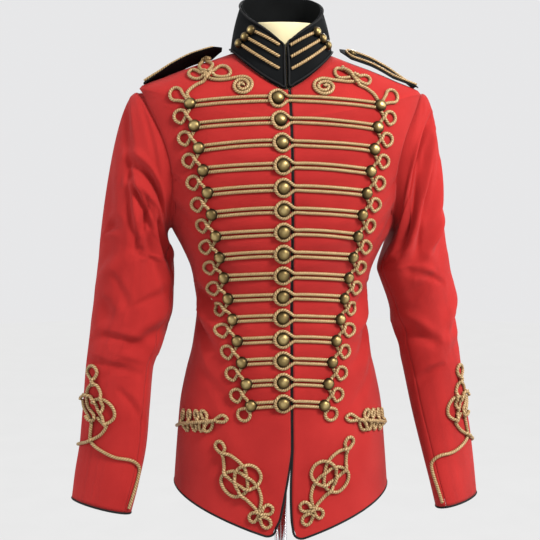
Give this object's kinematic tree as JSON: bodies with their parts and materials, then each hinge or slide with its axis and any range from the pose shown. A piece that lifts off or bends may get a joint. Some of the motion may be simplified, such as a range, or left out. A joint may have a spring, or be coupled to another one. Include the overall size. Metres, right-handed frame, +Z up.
{
  "type": "hussar jacket on a dress form",
  "caption": "Scarlet hussar jacket with black collar and gold frogging, worn by a limbless dress form on a chrome pole and round base.",
  "frame": {"origin": "centre of the base's underside, on the floor, under the middle of the neck", "axes": "+Z up, -Y to the front of the jacket, +X to the wearer's left"},
  "size_m": [0.6563, 0.4, 1.4961],
  "materials": {
    "scarlet_wool": "matte wool broadcloth",
    "black_cloth": "matte black cloth",
    "black_braid": "black cord, slightly shiny",
    "gold_cord": "twisted gold cord",
    "brass_button": "darkened brass",
    "cream_form": "cream jersey over a hard shell",
    "chrome_pole": "polished",
    "chrome_base": "polished"
  },
  "bodies": {
    "root": {"front_left": "scarlet_wool", "back_left": "scarlet_wool", "sleeve_top_left": "scarlet_wool", "sleeve_under_left": "scarlet_wool", "piping_front_left": "black_braid", "piping_cuff_left": "black_braid", "strap_left": "black_cloth", "strap_braid_left": "gold_cord", "strap_button_left": "brass_button", "chest_knot_left": "gold_cord", "hem_knot_left": "gold_cord", "hip_braid_left": "gold_cord", "sleeve_knot_left": "gold_cord", "collar_stripe_left_1": "gold_cord", "collar_stripe_left_2": "gold_cord", "collar_stripe_left_3": "gold_cord", "front_right": "scarlet_wool", "back_right": "scarlet_wool", "sleeve_top_right": "scarlet_wool", "sleeve_under_right": "scarlet_wool", "piping_front_right": "black_braid", "piping_cuff_right": "black_braid", "strap_right": "black_cloth", "strap_braid_right": "gold_cord", "strap_button_right": "brass_button", "chest_knot_right": "gold_cord", "hem_knot_right": "gold_cord", "hip_braid_right": "gold_cord", "sleeve_knot_right": "gold_cord", "collar_stripe_right_1": "gold_cord", "collar_stripe_right_2": "gold_cord", "collar_stripe_right_3": "gold_cord", "piping_back": "black_braid", "collar": "black_cloth", "piping_collar": "black_braid", "frog_row_01": "gold_cord", "frog_row_02": "gold_cord", "frog_row_03": "gold_cord", "frog_row_04": "gold_cord", "frog_row_05": "gold_cord", "frog_row_06": "gold_cord", "frog_row_07": "gold_cord", "frog_row_08": "gold_cord", "frog_row_09": "gold_cord", "frog_row_10": "gold_cord", "frog_row_11": "gold_cord", "frog_row_12": "gold_cord", "frog_row_13": "gold_cord", "frog_row_14": "gold_cord", "frog_row_15": "gold_cord", "form_torso": "cream_form", "form_pole": "chrome_pole", "form_base": "chrome_base"}
  },
  "joints": []
}
